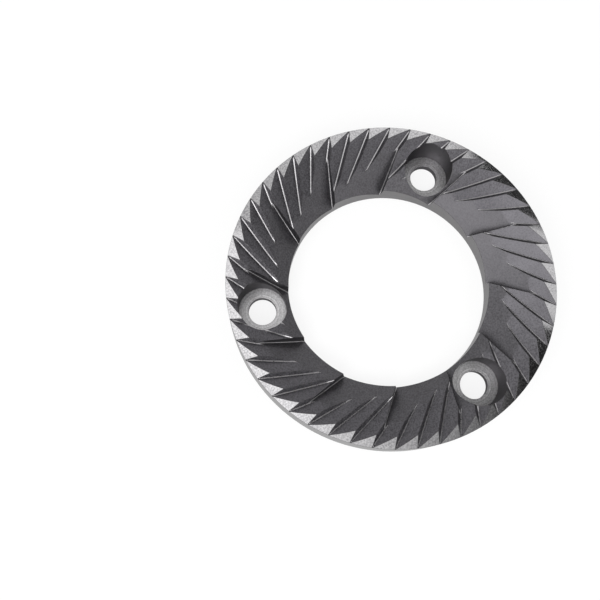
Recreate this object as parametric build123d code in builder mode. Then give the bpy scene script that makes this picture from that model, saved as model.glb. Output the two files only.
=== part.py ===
"""Flat grinding burr of a coffee grinder: one toothed steel ring, lying on its back with the teeth up.

A turned ring has a stepped and coned back. Its front is cut by straight slanting grooves, each with
a shallow ramp on one side and a steep wall on the other. Fine grooves start at the rim and leave
narrow flat lands there. Coarse grooves start further in, run steeply down to the bore and draw the
beans in. Three pockets between the teeth take the heads of the fixing screws.
Millimetres; z = 0 is the seat on the back, +Z is the toothed side, the first screw lies on +X.
"""
import os
from math import asin, cos, degrees, radians, sin, sqrt, tan

from build123d import *

os.makedirs("parts", exist_ok=True)

# The turned ring
outer_diameter = 64.0
bore_diameter = 39.7
height = 8.5

# The back: a flat seat, a narrow shelf round it and a cone out to the side wall
seat_diameter = 57.8
shelf_diameter = 60.2
shelf_height = 0.4
cone_height = 1.45
bore_chamfer = 0.6

# Screw holes with a flat-bottomed pocket for the head
screw_count = 3
screw_circle_diameter = 50.7
screw_hole_diameter = 5.5
screw_pocket_diameter = 9.5
screw_seat_height = 1.7

# Fine grooves, cut by a wide disc so that the floor is a shallow arc
fine_count = 48
fine_start_diameter = 64.1
fine_first_angle = 3.25
fine_offset = 15.25
fine_disc_radius = 52.0
fine_depth = 3.0
fine_ramp_angle = 28.5
fine_ramp_width = 6.5
fine_wall_angle = 47.0

# Coarse grooves, deeper and nearer to the radius
coarse_count = 12
coarse_start_diameter = 54.2
coarse_start_depth = 1.97
coarse_first_angle = 15.3
coarse_offset = 8.35
coarse_disc_radius = 48.0
coarse_depth = 7.4
coarse_ramp_angle = 28.5
coarse_ramp_width = 12.5
coarse_wall_angle = 80.0

clearance = 2.0


def groove_cutter(start_radius, start_height, offset, disc_radius, depth, ramp_angle, ramp_width, wall_angle):
    """Sector of a disc with a slanted rim. The rim runs down from a start on +X and passes the axis at the offset."""
    to_middle = sqrt(start_radius**2 - offset**2)
    to_lowest = sqrt(disc_radius**2 - (disc_radius - depth) ** 2)
    along = Vector(-to_middle, offset, 0) / start_radius
    hub = Vector(start_radius, 0, start_height - depth + disc_radius) + along * to_lowest
    # The sector reaches from outside the ring to the middle of the bore
    outside = outer_diameter / 2 - start_radius + clearance
    first = -asin((to_lowest + outside) / disc_radius)
    last = asin((to_middle - to_lowest) / disc_radius)
    across = Vector(offset, to_middle, 0) / start_radius
    section = Plane(hub, x_dir=across, z_dir=along * cos(first) + Vector(0, 0, sin(first)))
    top = disc_radius - depth - (height - start_height) - clearance
    with BuildPart() as cutter:
        with BuildSketch(section):
            with BuildLine():
                Polyline(
                    (0, disc_radius),
                    (ramp_width, disc_radius - ramp_width * tan(radians(ramp_angle))),
                    (ramp_width, top),
                    ((top - disc_radius) / tan(radians(wall_angle)), top),
                    close=True,
                )
            make_face()
        revolve(axis=Axis(hub, across), revolution_arc=degrees(last - first))
    return cutter.part


fine_cutter = groove_cutter(
    fine_start_diameter / 2, height, fine_offset, fine_disc_radius, fine_depth,
    fine_ramp_angle, fine_ramp_width, fine_wall_angle,
)
coarse_cutter = groove_cutter(
    coarse_start_diameter / 2, height - coarse_start_depth, coarse_offset, coarse_disc_radius, coarse_depth,
    coarse_ramp_angle, coarse_ramp_width, coarse_wall_angle,
)

with BuildPart() as flat_burr:
    # The turned blank
    with BuildSketch(Plane.XZ):
        with BuildLine():
            Polyline(
                (bore_diameter / 2 + bore_chamfer, 0),
                (seat_diameter / 2, 0),
                (seat_diameter / 2 + shelf_height, shelf_height),
                (shelf_diameter / 2, shelf_height),
                (outer_diameter / 2, cone_height),
                (outer_diameter / 2, height),
                (bore_diameter / 2, height),
                (bore_diameter / 2, bore_chamfer),
                close=True,
            )
        make_face()
    revolve(axis=Axis.Z)

    # The teeth
    for step in range(coarse_count):
        with PolarLocations(0, 1, start_angle=coarse_first_angle + step * 360 / coarse_count):
            add(coarse_cutter, mode=Mode.SUBTRACT)
    for step in range(fine_count):
        with PolarLocations(0, 1, start_angle=fine_first_angle + step * 360 / fine_count):
            add(fine_cutter, mode=Mode.SUBTRACT)

    # Screw holes and pockets
    with Locations((0, 0, height)), PolarLocations(screw_circle_diameter / 2, screw_count):
        CounterBoreHole(
            radius=screw_hole_diameter / 2,
            counter_bore_radius=screw_pocket_diameter / 2,
            counter_bore_depth=height - screw_seat_height,
        )

flat_burr.part.label = "flat_burr"
export_step(flat_burr.part, "parts/flat_burr.step")
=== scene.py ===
# %% [markdown]
# # A flat burr from a coffee grinder
# A burr is a hardened steel ring. Its front is cut with slanting teeth that crush the beans near
# the bore and shear them ever finer towards the rim. This lesson takes the ring from its solid
# model, rounds its roots and edges as a real cutter leaves them, gives each surface the finish of
# the operation that made it, and lights it like a small piece of metal on a white table.

from math import cos, hypot, radians, sin, sqrt

import bmesh
import bpy
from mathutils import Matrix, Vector


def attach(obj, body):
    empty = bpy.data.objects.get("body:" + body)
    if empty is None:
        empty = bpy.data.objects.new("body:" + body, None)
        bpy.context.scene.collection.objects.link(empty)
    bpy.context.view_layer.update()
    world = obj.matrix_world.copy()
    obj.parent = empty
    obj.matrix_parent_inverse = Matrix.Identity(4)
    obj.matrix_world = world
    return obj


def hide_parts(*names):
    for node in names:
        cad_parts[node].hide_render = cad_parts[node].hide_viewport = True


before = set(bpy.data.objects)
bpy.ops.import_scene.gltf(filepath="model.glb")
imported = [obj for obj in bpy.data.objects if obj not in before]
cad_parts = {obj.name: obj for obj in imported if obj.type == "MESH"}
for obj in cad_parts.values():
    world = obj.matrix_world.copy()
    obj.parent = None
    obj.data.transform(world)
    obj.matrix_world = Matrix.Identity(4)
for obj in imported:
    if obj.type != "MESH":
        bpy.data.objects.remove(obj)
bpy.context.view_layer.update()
MM = 0.001
HEIGHT = 8.5 * MM
TEETH_FROM = 1.9 * MM

# %% [markdown]
# ## The ring as one clean mesh
# A solid model arrives as loose triangles. They could be shown as they are, but an edge between
# loose triangles can't be rounded. So the ring is copied, its doubled points are merged, and
# triangles that lie in one plane are dissolved into whole faces, which leaves only the edges that
# the real ring has.

# %% Copy, merge and dissolve
SAME_POINT = 0.002 * MM
SAME_PLANE = radians(1.0)


def activate(piece):
    """Select one object alone, so that the next operator acts on nothing else."""
    bpy.ops.object.select_all(action="DESELECT")
    piece.select_set(True)
    bpy.context.view_layer.objects.active = piece


ring = bpy.data.objects.new("toothed_ring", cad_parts["flat_burr"].data.copy())
bpy.context.scene.collection.objects.link(ring)
ring.data.materials.clear()
activate(ring)
bpy.ops.mesh.customdata_custom_splitnormals_clear()
bpy.ops.object.mode_set(mode="EDIT")
bpy.ops.mesh.select_all(action="SELECT")
bpy.ops.mesh.remove_doubles(threshold=SAME_POINT)
bpy.ops.mesh.dissolve_limited(angle_limit=SAME_PLANE)
bpy.ops.object.mode_set(mode="OBJECT")
print("ring:", len(ring.data.vertices), "points,", len(ring.data.polygons), "faces")

# %% [markdown]
# ## Finding edges by how they fold
# By hand, one would click the edges to be rounded. There are hundreds, so they are found by their
# fold instead: the angle between the two faces, above zero on an outer corner and below zero in a
# groove. The place of the edge's middle tells the teeth from the back.

# %% A helper that selects edges
FINISHES = (
    "flank", "scoop", "root", "hollow", "crest", "edge",
    "land", "seat", "side", "bore", "pocket", "back",
)
FLANK, SCOOP, ROOT, HOLLOW, CREST, EDGE, LAND, SEAT, SIDE, BORE, POCKET, BACK = range(len(FINISHES))
for name in FINISHES:
    ring.data.materials.append(bpy.data.materials.new(name))


def select_edges(piece, chosen):
    """Enter edit mode with only the edges selected whose fold and middle pass the test."""
    activate(piece)
    bpy.ops.object.mode_set(mode="EDIT")
    bpy.ops.mesh.select_mode(type="EDGE")
    bpy.ops.mesh.select_all(action="DESELECT")
    mesh = bmesh.from_edit_mesh(piece.data)
    count = 0
    for edge in mesh.edges:
        middle = (edge.verts[0].co + edge.verts[1].co) / 2
        if chosen(edge.calc_face_angle_signed(), middle):
            edge.select_set(True)
            count += 1
    bmesh.update_edit_mesh(piece.data)
    return count


def round_edges(piece, chosen, width, segments, finish):
    """Bevel the chosen edges and give the new faces a finish."""
    count = select_edges(piece, chosen)
    bpy.ops.mesh.bevel(offset=width, segments=segments, material=finish, clamp_overlap=False)
    bpy.ops.object.mode_set(mode="OBJECT")
    return count


def from_axis(at):
    """Distance of a place from the axis of the ring."""
    return hypot(at.x, at.y)


# %% [markdown]
# ## The roots of the grooves
# The tip of a cutter is never quite sharp. The tip that cut the fine grooves left a narrow flat
# strip in each root, and the larger tip of the coarse grooves left a rounded hollow. The strip
# mirrors the room as a hairline, bright on one side of the ring and dark on the other, and
# without it the teeth look like folded paper. A bevel with one segment gives the strip, and one
# with three gives the hollow. A fine groove runs out to nothing at the rim, where a strip of full
# width would stick out of it. So its outermost edge is first cut in pieces, and the last piece
# stays sharp.

# %% Round the roots
FINE_FOLD = radians(-60)
COARSE_FOLD = radians(-85)
FINE_ROOT = 0.13 * MM
COARSE_ROOT = 0.18 * MM
STRIP_SEGMENTS = 1
HOLLOW_SEGMENTS = 3
RUN_OUT_FROM = 30.9 * MM
RUN_OUT_CUTS = 3
SHARP_FROM = 31.6 * MM


def in_fine_root(fold):
    return COARSE_FOLD < fold < FINE_FOLD


select_edges(ring, lambda fold, at: in_fine_root(fold) and from_axis(at) > RUN_OUT_FROM)
bpy.ops.mesh.subdivide(number_cuts=RUN_OUT_CUTS)
bpy.ops.object.mode_set(mode="OBJECT")
fine = round_edges(
    ring, lambda fold, at: in_fine_root(fold) and at.z > TEETH_FROM and from_axis(at) < SHARP_FROM,
    FINE_ROOT, STRIP_SEGMENTS, ROOT)
coarse = round_edges(
    ring, lambda fold, at: fold < COARSE_FOLD and at.z > TEETH_FROM,
    COARSE_ROOT, HOLLOW_SEGMENTS, HOLLOW)
print("rounded", fine, "edges of fine roots and", coarse, "of coarse roots")

# %% [markdown]
# ## The outer corners
# After cutting, the corners of the teeth are sharp but not perfect: they are broken by a few
# hundredths of a millimetre. The turned corners of the back, the screw holes and the bore are
# broken more, so that they don't cut the hand. Where a root strip runs into a screw pocket, two
# of these small bevels overlap and fold a few edges back on themselves, so each of those places
# is closed up to a point.

# %% Break the corners
OUTER_CORNER = radians(22)
FOLDED_OVER = radians(150)
CREST_BREAK = 0.04 * MM
TURNED_BREAK = 0.1 * MM
CORNER_SEGMENTS = 2
NO_LENGTH = 0.001 * MM
crests = round_edges(
    ring, lambda fold, at: fold > OUTER_CORNER and at.z > TEETH_FROM,
    CREST_BREAK, CORNER_SEGMENTS, CREST)
turned = round_edges(
    ring, lambda fold, at: fold > OUTER_CORNER and at.z < TEETH_FROM,
    TURNED_BREAK, CORNER_SEGMENTS, EDGE)
activate(ring)
bpy.ops.object.mode_set(mode="EDIT")
bpy.ops.mesh.select_all(action="SELECT")
bpy.ops.mesh.dissolve_degenerate(threshold=NO_LENGTH)
bpy.ops.object.mode_set(mode="OBJECT")
folded = select_edges(ring, lambda fold, at: abs(fold) > FOLDED_OVER)
if folded:
    bpy.ops.mesh.merge(type="COLLAPSE")
bpy.ops.object.mode_set(mode="OBJECT")
print("closed up", folded, "edges that were folded over")
print("broke", crests, "edges of the teeth and", turned, "turned edges")

# %% [markdown]
# ## Which surface was made how
# The faces are sorted by their place and their direction. The lands at full height were ground
# flat. The floors of the screw pockets were milled, and the side, the bore and the back were
# turned. The flanks of the teeth keep the dark, matt skin that hardening left on them. The ramps
# of the coarse grooves lean further in towards the axis than those of the fine grooves, which
# tells the two apart. The little faces that close the end of a root strip belong to the flank.
# Weighted normals then keep the large faces flat, so that only the rounded edges catch a
# gradient.

# %% Sort the faces
SCREW_RADIUS = 25.35 * MM
SCREW_SEAT = 1.7 * MM
THREE_WAYS = ((1, 0), (-0.5, sqrt(0.75)), (-0.5, -sqrt(0.75)))
SCREWS = [Vector((SCREW_RADIUS * x, SCREW_RADIUS * y)) for x, y in THREE_WAYS]
STRIP_UP = 0.88
LEVEL_UP = 0.99
UPRIGHT = 0.05
RAMP_UP = 0.6
SCOOP_LEAN = 0.505
LAND_FROM = HEIGHT - 0.01 * MM
SEAT_TO = 1.75 * MM
POCKET_TO = 4.9 * MM
SIDE_FROM = 31.8 * MM
BORE_TO = 20 * MM
SMOOTH_TO = radians(34)
FACE_WEIGHT = 100
for face in ring.data.polygons:
    at, up = face.center, face.normal.z
    inward = -face.normal.xy.dot(at.xy) / from_axis(at)
    beside_screw = min((at.xy - screw).length for screw in SCREWS)
    if face.material_index == ROOT and up < STRIP_UP:
        face.material_index = FLANK
    if face.material_index in (ROOT, HOLLOW, CREST, EDGE):
        continue
    if up > LEVEL_UP and at.z > LAND_FROM:
        face.material_index = LAND
    elif up > LEVEL_UP and at.z < SEAT_TO:
        face.material_index = SEAT
    elif up < -UPRIGHT:
        face.material_index = BACK
    elif abs(up) < UPRIGHT and beside_screw < POCKET_TO:
        face.material_index = POCKET
    elif abs(up) < UPRIGHT and from_axis(at) > SIDE_FROM:
        face.material_index = SIDE
    elif abs(up) < UPRIGHT and from_axis(at) < BORE_TO:
        face.material_index = BORE
    elif up > RAMP_UP and inward > SCOOP_LEAN:
        face.material_index = SCOOP
    else:
        face.material_index = FLANK
activate(ring)
bpy.ops.object.shade_smooth_by_angle(angle=SMOOTH_TO)
bpy.ops.object.modifier_add(type="WEIGHTED_NORMAL")
flat_faces = ring.modifiers[-1]
flat_faces.mode = "FACE_AREA"
flat_faces.weight = FACE_WEIGHT
flat_faces.keep_sharp = True
bpy.ops.object.modifier_apply(modifier=flat_faces.name)
finish_of = [face.material_index for face in ring.data.polygons]
print({name: finish_of.count(number) for number, name in enumerate(FINISHES)})

# %% [markdown]
# ## Grain and tool lines
# All surfaces are the same steel. What differs is how dark, how rough and how grainy they are,
# and which way the tool went over them. Two node groups hold what they share: a grain in two
# sizes, and lines at a steady distance from something, which are rings round an axis or long
# shallow arcs.

# %% Two node groups
def add_node(tree, kind, **settings):
    """Add a node, and set its inputs or its properties by name."""
    node = tree.nodes.new(kind)
    for key, value in settings.items():
        name = key.replace("_", " ").title()
        if name in node.inputs:
            node.inputs[name].default_value = value
        else:
            setattr(node, key, value)
    return node


def new_group(name, given, results):
    tree = bpy.data.node_groups.new(name, "ShaderNodeTree")
    for socket in given:
        tree.interface.new_socket(socket, in_out="INPUT", socket_type="NodeSocketFloat")
    for socket in results:
        tree.interface.new_socket(socket, in_out="OUTPUT", socket_type="NodeSocketFloat")
    return tree, add_node(tree, "NodeGroupInput").outputs, add_node(tree, "NodeGroupOutput").inputs


def grain_group():
    """Small grains, and wide patches that are a little lighter or darker."""
    tree, given, result = new_group("grain", ["Grains per metre"], ["Grain", "Patches"])
    place = add_node(tree, "ShaderNodeTexCoord")
    small = add_node(tree, "ShaderNodeTexNoise", detail=2.0, roughness=0.55)
    wide = add_node(tree, "ShaderNodeTexNoise", scale=320.0, detail=2.0)
    spread = add_node(tree, "ShaderNodeMapRange", from_min=0.34, from_max=0.66)
    tree.links.new(given[0], small.inputs["Scale"])
    tree.links.new(place.outputs["Object"], small.inputs["Vector"])
    tree.links.new(place.outputs["Object"], wide.inputs["Vector"])
    tree.links.new(small.outputs["Fac"], spread.inputs["Value"])
    tree.links.new(spread.outputs["Result"], result[0])
    tree.links.new(wide.outputs["Fac"], result[1])
    return tree


def line_group():
    """Uneven lines that a tool leaves at a steady distance from its centre."""
    tree, given, result = new_group("tool_lines", ["Distance", "Lines per metre"], ["Lines"])
    noise = add_node(tree, "ShaderNodeTexNoise", noise_dimensions="1D", detail=2.0, roughness=0.6)
    spread = add_node(tree, "ShaderNodeMapRange", from_min=0.3, from_max=0.7)
    tree.links.new(given[0], noise.inputs["W"])
    tree.links.new(given[1], noise.inputs["Scale"])
    tree.links.new(noise.outputs["Fac"], spread.inputs["Value"])
    tree.links.new(spread.outputs["Result"], result[0])
    return tree


GRAIN = grain_group()
LINES = line_group()
print("node groups:", [group.name for group in bpy.data.node_groups])

# %% [markdown]
# ## Where the tool's centre was
# The lands were ground on a table grinder, whose wide wheel leaves long arcs. The floor of a
# screw pocket has rings round its own screw. The side and the back were turned, so their lines
# are rings round the axis. Each of these is one distance, worked out from the place on the ring.

# %% Three distances
WHEEL_CENTRE = (0.16, 0.21, HEIGHT)


def distance_to(tree, point):
    place = add_node(tree, "ShaderNodeTexCoord")
    measure = add_node(tree, "ShaderNodeVectorMath", operation="DISTANCE")
    measure.inputs[1].default_value = point
    tree.links.new(place.outputs["Object"], measure.inputs[0])
    return measure.outputs["Value"]


def from_wheel(tree):
    """Arcs of a wheel whose centre is far out to one side."""
    return distance_to(tree, WHEEL_CENTRE)


def from_nearest_screw(tree):
    """Rings round whichever screw is nearest."""
    nearest = None
    for screw in SCREWS:
        here = distance_to(tree, (screw.x, screw.y, SCREW_SEAT))
        if nearest is None:
            nearest = here
            continue
        smaller = add_node(tree, "ShaderNodeMath", operation="MINIMUM")
        tree.links.new(nearest, smaller.inputs[0])
        tree.links.new(here, smaller.inputs[1])
        nearest = smaller.outputs[0]
    return nearest


def from_ring_axis(tree):
    """Rings round the axis, and rings at one height on the side: radius plus height."""
    place = add_node(tree, "ShaderNodeTexCoord")
    flat = add_node(tree, "ShaderNodeVectorMath", operation="MULTIPLY")
    flat.inputs[1].default_value = (1, 1, 0)
    radius = add_node(tree, "ShaderNodeVectorMath", operation="LENGTH")
    parts = add_node(tree, "ShaderNodeSeparateXYZ")
    both = add_node(tree, "ShaderNodeMath", operation="ADD")
    tree.links.new(place.outputs["Object"], flat.inputs[0])
    tree.links.new(flat.outputs["Vector"], radius.inputs[0])
    tree.links.new(place.outputs["Object"], parts.inputs["Vector"])
    tree.links.new(radius.outputs["Value"], both.inputs[0])
    tree.links.new(parts.outputs["Z"], both.inputs[1])
    return both.outputs[0]


# %% [markdown]
# ## Steel in twelve finishes
# A finish mixes a dark and a light steel by the grain and the tool lines, takes its roughness
# from the same mask, and lifts the surface a little where the mask is light. The matt skin of the
# teeth is dark, the roots and the broken edges are bare and lighter, and the ground lands are
# nearly mirrors. Steep walls would flash where they are seen along the surface, so their rim of
# reflection can be held down.

# %% One function for all finishes
PATCH_SHARE = 0.3
RELIEF = 0.02 * MM


def blend(tree, first, second, share):
    """Mix two values in a fixed share."""
    mix = add_node(tree, "ShaderNodeMix", data_type="FLOAT")
    mix.inputs["Factor"].default_value = share
    tree.links.new(first, mix.inputs["A"])
    tree.links.new(second, mix.inputs["B"])
    return mix.outputs["Result"]


def steel(name, dark, light, rough, grains, bump, centre=None, lines=0, share=0.0, brim=1.0):
    """Give one finish its shades, roughness, grain, relief and tool lines."""
    material = bpy.data.materials[name]
    material.use_nodes = True
    tree = material.node_tree
    tree.nodes.clear()
    grain = add_node(tree, "ShaderNodeGroup", node_tree=GRAIN)
    grain.inputs["Grains per metre"].default_value = grains
    mask = grain.outputs["Grain"]
    if centre:
        tool = add_node(tree, "ShaderNodeGroup", node_tree=LINES)
        tool.inputs["Lines per metre"].default_value = lines
        tree.links.new(centre(tree), tool.inputs["Distance"])
        mask = blend(tree, mask, tool.outputs["Lines"], share)
    tone = blend(tree, mask, grain.outputs["Patches"], PATCH_SHARE)
    colour = add_node(tree, "ShaderNodeMix", data_type="RGBA")
    colour.inputs["A"].default_value = (*dark, 1)
    colour.inputs["B"].default_value = (*light, 1)
    roughness = add_node(tree, "ShaderNodeMapRange", to_min=rough[0], to_max=rough[1])
    relief = add_node(tree, "ShaderNodeBump", strength=bump, distance=RELIEF)
    surface = add_node(
        tree, "ShaderNodeBsdfPrincipled", metallic=1.0, specular_tint=(brim, brim, brim, 1))
    output = add_node(tree, "ShaderNodeOutputMaterial")
    tree.links.new(tone, colour.inputs["Factor"])
    tree.links.new(mask, roughness.inputs["Value"])
    tree.links.new(mask, relief.inputs["Height"])
    tree.links.new(colour.outputs["Result"], surface.inputs["Base Color"])
    tree.links.new(roughness.outputs["Result"], surface.inputs["Roughness"])
    tree.links.new(relief.outputs["Normal"], surface.inputs["Normal"])
    tree.links.new(surface.outputs["BSDF"], output.inputs["Surface"])
    print(name, "from", dark, "to", light)


# %% The finishes
GROUND = (from_wheel, 3400, 0.25)
MILLED = (from_nearest_screw, 2400, 0.50)
TURNED = (from_ring_axis, 3000, 0.6)
steel("flank", (0.050, 0.048, 0.052), (0.138, 0.134, 0.145), (0.42, 0.58), 3200, 0.20)
steel("scoop", (0.060, 0.058, 0.062), (0.132, 0.128, 0.137), (0.48, 0.60), 3200, 0.15)
steel("root", (0.34, 0.33, 0.34), (0.48, 0.47, 0.48), (0.27, 0.34), 4500, 0.02)
steel("hollow", (0.17, 0.166, 0.17), (0.29, 0.283, 0.29), (0.30, 0.42), 3600, 0.15)
steel("crest", (0.03, 0.029, 0.03), (0.12, 0.117, 0.12), (0.35, 0.45), 3000, 0.20)
steel("edge", (0.24, 0.235, 0.24), (0.36, 0.35, 0.36), (0.25, 0.35), 4500, 0.10)
steel("land", (0.46, 0.45, 0.47), (1.0, 0.99, 1.0), (0.05, 0.13), 2800, 0.02, *GROUND)
steel("seat", (0.22, 0.216, 0.22), (0.86, 0.85, 0.86), (0.32, 0.46), 3000, 0.28, *MILLED)
steel("side", (0.15, 0.147, 0.15), (0.26, 0.255, 0.26), (0.30, 0.45), 3600, 0.15, *TURNED)
steel("bore", (0.15, 0.147, 0.15), (0.26, 0.255, 0.26), (0.30, 0.45), 3600, 0.15, *TURNED, brim=0.8)
steel("pocket", (0.075, 0.073, 0.077), (0.13, 0.126, 0.133), (0.30, 0.45), 3600, 0.15, *TURNED,
      brim=0.40)
steel("back", (0.24, 0.235, 0.235), (0.38, 0.37, 0.37), (0.28, 0.42), 3600, 0.15, *TURNED)

# %% [markdown]
# ## The ring stands for the solid
# The finished mesh takes the place of the plain solid: it rides on the same body, and the solid
# is hidden.

# %% Tie the ring to the frame
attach(ring, "root")
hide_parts("flat_burr")
print("the ring has", sum(len(f.vertices) - 2 for f in ring.data.polygons), "triangles")

# %% [markdown]
# ## A white table
# The ring lies on a white table in a white room. Table and room show as white to the camera and
# in reflections, while the light that they throw on the ring stays at a plain level. A part of
# the table stays real paint, so that it takes the shadow of the ring.

# %% Room and table
ROOM_LIGHT = 0.6
TABLE_SIZE = 1.2
TABLE_GAP = 0.02 * MM
TABLE_GLOW = 0.85
scene = bpy.context.scene
scene.view_settings.view_transform = "Standard"


def seen_or_mirrored(tree):
    """1 for what is seen straight, mirrored or through glass, and 0 for light on the ring."""
    path = add_node(tree, "ShaderNodeLightPath")
    result = path.outputs["Is Camera Ray"]
    for kind in ("Is Glossy Ray", "Is Transmission Ray"):
        larger = add_node(tree, "ShaderNodeMath", operation="MAXIMUM")
        tree.links.new(result, larger.inputs[0])
        tree.links.new(path.outputs[kind], larger.inputs[1])
        result = larger.outputs[0]
    return result


room = bpy.data.worlds.new("white_room")
scene.world = room
room.use_nodes = True
background = room.node_tree.nodes["Background"]
background.inputs["Color"].default_value = (1, 1, 1, 1)
strength = add_node(room.node_tree, "ShaderNodeMapRange", to_min=ROOM_LIGHT, to_max=1.0)
room.node_tree.links.new(seen_or_mirrored(room.node_tree), strength.inputs["Value"])
room.node_tree.links.new(strength.outputs["Result"], background.inputs["Strength"])

bpy.ops.mesh.primitive_plane_add(size=TABLE_SIZE, location=(0, 0, -TABLE_GAP))
table = bpy.context.object
table.name = "white_table"
paint = bpy.data.materials.new("white_table")
paint.use_nodes = True
tree = paint.node_tree
tree.nodes.clear()
matt = add_node(tree, "ShaderNodeBsdfDiffuse", color=(0.9, 0.9, 0.9, 1))
glow = add_node(tree, "ShaderNodeEmission", strength=1.0)
share = add_node(tree, "ShaderNodeMath", operation="MULTIPLY")
share.inputs[1].default_value = TABLE_GLOW
mixed = add_node(tree, "ShaderNodeMixShader")
output = add_node(tree, "ShaderNodeOutputMaterial")
tree.links.new(seen_or_mirrored(tree), share.inputs[0])
tree.links.new(share.outputs[0], mixed.inputs["Fac"])
tree.links.new(matt.outputs["BSDF"], mixed.inputs[1])
tree.links.new(glow.outputs["Emission"], mixed.inputs[2])
tree.links.new(mixed.outputs["Shader"], output.inputs["Surface"])
table.data.materials.append(paint)
print("table and room are white")

# %% [markdown]
# ## Soft boxes and cards
# Metal shows what stands round it. The main soft box behind the camera's left shoulder lights the
# ramps that face it, a weaker one fills from the right and a low one from the far side. Cards
# over the ring, which only reflections see, stand for a room with dark corners: dark ones on the
# right and far away turn part of the lands and of the root strips black, and grey ones leave the
# other lands half bright. Places are given as the camera sees them: x to its right, y away from
# it.

# %% Soft boxes
TURN = radians(-70.9)
OVERHEAD = 308


def as_seen(x, y, z):
    """A place in millimetres, turned from the camera's directions to the ring's."""
    return Vector((x * cos(TURN) - y * sin(TURN), x * sin(TURN) + y * cos(TURN), z)) * MM


def soft_box(name, place, wide, high, watts):
    """A lamp with a large face, turned to the ring."""
    lamp = bpy.data.lights.new(name, "AREA")
    lamp.shape = "RECTANGLE"
    lamp.size, lamp.size_y = wide, high
    lamp.energy = watts
    box = bpy.data.objects.new(name, lamp)
    box.location = place
    box.rotation_euler = (-place).to_track_quat("-Z", "Y").to_euler()
    box.visible_camera = False
    scene.collection.objects.link(box)
    print(name, round(place.length, 3), "m away")


soft_box("main_box", as_seen(-165, -215, 330), 0.36, 0.30, 1.50)
soft_box("right_box", as_seen(275, -130, 280), 0.24, 0.24, 0.34)
soft_box("far_box", as_seen(60, 330, 140), 0.34, 0.10, 0.13)


# %% Cards
def card(name, left, right, near, far, shade, fade=None):
    """A card overhead in one shade, or in a shade that fades evenly from left to right."""
    middle = as_seen((left + right) / 2, (near + far) / 2, OVERHEAD)
    bpy.ops.mesh.primitive_plane_add(size=1, location=middle)
    made = bpy.context.object
    made.name = name
    made.scale = ((right - left) * MM, (far - near) * MM, 1)
    made.rotation_euler.z = TURN
    colour = bpy.data.materials.new(name)
    colour.use_nodes = True
    tree = colour.node_tree
    tree.nodes.clear()
    glow = add_node(tree, "ShaderNodeEmission", strength=shade)
    output = add_node(tree, "ShaderNodeOutputMaterial")
    if fade is not None:
        place = add_node(tree, "ShaderNodeTexCoord")
        parts = add_node(tree, "ShaderNodeSeparateXYZ")
        ramp = add_node(
            tree, "ShaderNodeMapRange", from_min=-0.5, from_max=0.5, to_min=shade, to_max=fade)
        tree.links.new(place.outputs["Object"], parts.inputs["Vector"])
        tree.links.new(parts.outputs["X"], ramp.inputs["Value"])
        tree.links.new(ramp.outputs["Result"], glow.inputs["Strength"])
    tree.links.new(glow.outputs["Emission"], output.inputs["Surface"])
    made.data.materials.append(colour)
    made.visible_camera = made.visible_diffuse = made.visible_shadow = False


card("fading_card", 0, 124, -130, 55, 0.86, 0.02)
card("dark_card_near", 124, 420, -130, 55, 0.02)
card("dark_card_right", 163, 420, 55, 117, 0.02)
card("dark_card_far", 104, 420, 117, 320, 0.03)
card("grey_card_left", -75, 52, 112, 195, 0.38, 0.76)
card("grey_card_right", 52, 104, 121, 200, 0.76, 0.55)
card("pale_card", 104, 163, 55, 117, 0.72)
card("inner_card", 25, 104, 57, 112, 0.20)
card("far_card", -60, 104, 240, 560, 0.05)

# %% [markdown]
# ## The camera
# The camera looks down on the ring from a little to the side, with a normal lens.

# %% Camera
EYE_PLACE = Vector((-44.707, 9.840, 151.762)) * MM
EYE_TURN = (radians(13.7109), radians(-2.4509), radians(-70.9373))
eye = bpy.data.cameras.new("camera")
eye.lens = 46.6
eye.sensor_width = 36
eye.clip_start = 0.005
camera = bpy.data.objects.new("camera", eye)
camera.location = EYE_PLACE
camera.rotation_euler = EYE_TURN
scene.collection.objects.link(camera)
scene.camera = camera
print("camera", round(camera.location.length, 3), "m from the origin")
